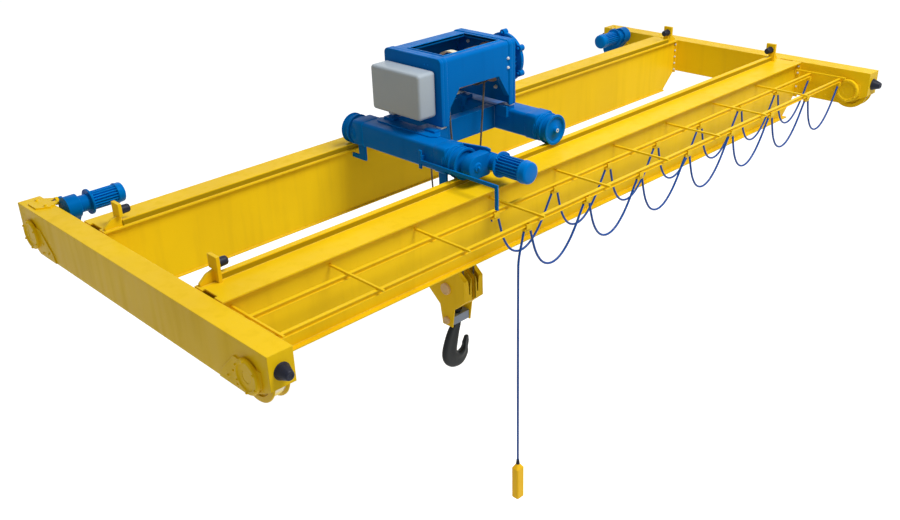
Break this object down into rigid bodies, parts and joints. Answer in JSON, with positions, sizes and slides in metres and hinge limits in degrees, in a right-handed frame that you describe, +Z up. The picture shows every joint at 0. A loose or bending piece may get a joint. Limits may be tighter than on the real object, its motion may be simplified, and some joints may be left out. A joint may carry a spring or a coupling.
{
  "type": "overhead bridge crane",
  "caption": "Double-girder overhead bridge crane with end carriages, a travelling hoist trolley, hook block, festoon cables and a hanging pendant control.",
  "frame": {"origin": "where the tread of the front left travel wheel stands on its runway rail", "axes": "+X along the span from the left to the right end carriage, +Y to the rear, +Z up"},
  "size_m": [8.254, 3.806, 3.72],
  "materials": {
    "yellow_enamel": "gloss enamel",
    "blue_paint": "satin paint",
    "rail_steel": "run bright on top",
    "festoon_enamel": "gloss enamel",
    "grey_enamel": "satin enamel",
    "carrier_dark": "matt",
    "cable_blue": "satin sheath",
    "pendant_shell": "matt",
    "buffer_rubber": "matt",
    "wire_rope": "greased strands",
    "drum_steel": "greased",
    "cream_plastic": "matt",
    "shim_steel": "zinc plated",
    "block_steel": "painted dark",
    "forged_hook": "dark satin paint"
  },
  "bodies": {
    "bridge": {"left_carriage": "yellow_enamel", "right_carriage": "yellow_enamel", "left_wheel_bearings": "yellow_enamel", "right_wheel_bearings": "yellow_enamel", "front_girder_box": "yellow_enamel", "front_girder_top_plate": "yellow_enamel", "rear_girder_box": "yellow_enamel", "rear_girder_top_plate": "yellow_enamel", "front_trolley_rail": "rail_steel", "rear_trolley_rail": "rail_steel", "trolley_stops": "yellow_enamel", "rubber_buffers": "buffer_rubber", "left_travel_gearbox": "blue_paint", "left_travel_motor": "blue_paint", "right_travel_gearbox": "blue_paint", "right_travel_motor": "blue_paint", "torque_brackets": "yellow_enamel", "festoon_arms": "festoon_enamel", "inner_festoon_track": "festoon_enamel", "outer_festoon_track": "festoon_enamel", "festoon_end_clamps": "carrier_dark", "inner_cable": "cable_blue", "outer_cable": "cable_blue", "outer_carriers": "carrier_dark", "pendant_cable": "cable_blue", "pendant_control": "pendant_shell"},
    "left_front_wheel": {"left_front_travel_wheel": "yellow_enamel"},
    "left_rear_wheel": {"left_rear_travel_wheel": "yellow_enamel"},
    "right_front_wheel": {"right_front_travel_wheel": "yellow_enamel"},
    "right_rear_wheel": {"right_rear_travel_wheel": "yellow_enamel"},
    "trolley": {"left_trolley_beam": "yellow_enamel", "right_trolley_beam": "yellow_enamel", "trolley_gearbox": "blue_paint", "trolley_motor": "blue_paint", "trolley_cross_frame": "yellow_enamel", "hoist_shims": "shim_steel", "tow_arm": "yellow_enamel", "hoist_frame": "yellow_enamel", "rope_guide": "cream_plastic", "rope_anchor": "drum_steel", "control_box": "grey_enamel", "hoist_gearbox": "blue_paint", "hoist_ropes": "wire_rope"},
    "trolley_left_wheels": {"left_trolley_wheels": "rail_steel"},
    "trolley_right_wheels": {"right_trolley_wheels": "rail_steel"},
    "drum": {"rope_drum": "drum_steel"},
    "hook_block": {"hook_block_plates": "yellow_enamel", "hook_crosshead": "block_steel", "sheave_ropes": "wire_rope"},
    "sheaves": {"rope_sheaves": "block_steel"},
    "hook": {"load_hook": "forged_hook"},
    "carrier_1": {"cable_carrier_1": "carrier_dark"},
    "carrier_2": {"cable_carrier_2": "carrier_dark"},
    "carrier_3": {"cable_carrier_3": "carrier_dark"},
    "carrier_4": {"cable_carrier_4": "carrier_dark"},
    "carrier_5": {"cable_carrier_5": "carrier_dark"},
    "carrier_6": {"cable_carrier_6": "carrier_dark"},
    "tow": {"tow_carriage": "carrier_dark"}
  },
  "joints": [
    {"name": "left_front_wheel_turn", "type": "hinge", "parent": "bridge", "child": "left_front_wheel", "pos_m": [0, 0, 0.187], "axis": [1, 0, 0], "continuous": true},
    {"name": "left_rear_wheel_turn", "type": "hinge", "parent": "bridge", "child": "left_rear_wheel", "pos_m": [0, 3.186, 0.187], "axis": [1, 0, 0], "continuous": true},
    {"name": "right_front_wheel_turn", "type": "hinge", "parent": "bridge", "child": "right_front_wheel", "pos_m": [7.98, 0, 0.187], "axis": [1, 0, 0], "continuous": true},
    {"name": "right_rear_wheel_turn", "type": "hinge", "parent": "bridge", "child": "right_rear_wheel", "pos_m": [7.98, 3.186, 0.187], "axis": [1, 0, 0], "continuous": true},
    {"name": "trolley_travel", "type": "slide", "parent": "bridge", "child": "trolley", "axis": [1, 0, 0], "range_m": [-2.16, 3.62], "deforming": ["inner_cable"]},
    {"name": "trolley_left_wheels_turn", "type": "hinge", "parent": "trolley", "child": "trolley_left_wheels", "pos_m": [2.693, 0.893, 0.583], "axis": [0, 1, 0], "range_deg": [-1000, 1670]},
    {"name": "trolley_right_wheels_turn", "type": "hinge", "parent": "trolley", "child": "trolley_right_wheels", "pos_m": [3.843, 0.893, 0.583], "axis": [0, 1, 0], "range_deg": [-1000, 1670]},
    {"name": "hoist_lift", "type": "slide", "parent": "trolley", "child": "hook_block", "axis": [0, 0, 1], "range_m": [-1.2, 1.1], "deforming": ["hoist_ropes"]},
    {"name": "drum_turn", "type": "hinge", "parent": "trolley", "child": "drum", "pos_m": [3.338, 1.583, 1.108], "axis": [1, 0, 0], "range_deg": [-860, 900]},
    {"name": "sheaves_turn", "type": "hinge", "parent": "hook_block", "child": "sheaves", "pos_m": [3.243, 1.593, -1.021], "axis": [1, 0, 0], "range_deg": [-400, 420]},
    {"name": "hook_swivel", "type": "hinge", "parent": "hook_block", "child": "hook", "pos_m": [3.243, 1.593, -1.375], "axis": [0, 0, 1], "continuous": true},
    {"name": "carrier_1_slide", "type": "slide", "parent": "bridge", "child": "carrier_1", "axis": [1, 0, 0], "range_m": [-0.309, 0.518]},
    {"name": "carrier_2_slide", "type": "slide", "parent": "carrier_1", "child": "carrier_2", "axis": [1, 0, 0], "range_m": [-0.309, 0.518]},
    {"name": "carrier_3_slide", "type": "slide", "parent": "carrier_2", "child": "carrier_3", "axis": [1, 0, 0], "range_m": [-0.309, 0.518]},
    {"name": "carrier_4_slide", "type": "slide", "parent": "carrier_3", "child": "carrier_4", "axis": [1, 0, 0], "range_m": [-0.309, 0.518]},
    {"name": "carrier_5_slide", "type": "slide", "parent": "carrier_4", "child": "carrier_5", "axis": [1, 0, 0], "range_m": [-0.309, 0.518]},
    {"name": "carrier_6_slide", "type": "slide", "parent": "carrier_5", "child": "carrier_6", "axis": [1, 0, 0], "range_m": [-0.309, 0.518]},
    {"name": "tow_slide", "type": "slide", "parent": "carrier_6", "child": "tow", "axis": [1, 0, 0], "range_m": [-0.309, 0.518]}
  ],
  "couplings": [
    {"joint": "left_front_wheel_turn", "follows": "left_rear_wheel_turn", "ratio": 1},
    {"joint": "right_front_wheel_turn", "follows": "left_rear_wheel_turn", "ratio": 1},
    {"joint": "right_rear_wheel_turn", "follows": "left_rear_wheel_turn", "ratio": 1},
    {"joint": "trolley_left_wheels_turn", "follows": "trolley_travel", "rad_per_m": 8},
    {"joint": "trolley_right_wheels_turn", "follows": "trolley_travel", "rad_per_m": 8},
    {"joint": "drum_turn", "follows": "hoist_lift", "rad_per_m": -12.121},
    {"joint": "sheaves_turn", "follows": "hoist_lift", "rad_per_m": -5.7143},
    {"joint": "carrier_1_slide", "follows": "trolley_travel", "ratio": 0.14286},
    {"joint": "carrier_2_slide", "follows": "trolley_travel", "ratio": 0.14286},
    {"joint": "carrier_3_slide", "follows": "trolley_travel", "ratio": 0.14286},
    {"joint": "carrier_4_slide", "follows": "trolley_travel", "ratio": 0.14286},
    {"joint": "carrier_5_slide", "follows": "trolley_travel", "ratio": 0.14286},
    {"joint": "carrier_6_slide", "follows": "trolley_travel", "ratio": 0.14286},
    {"joint": "tow_slide", "follows": "trolley_travel", "ratio": 0.14286}
  ]
}
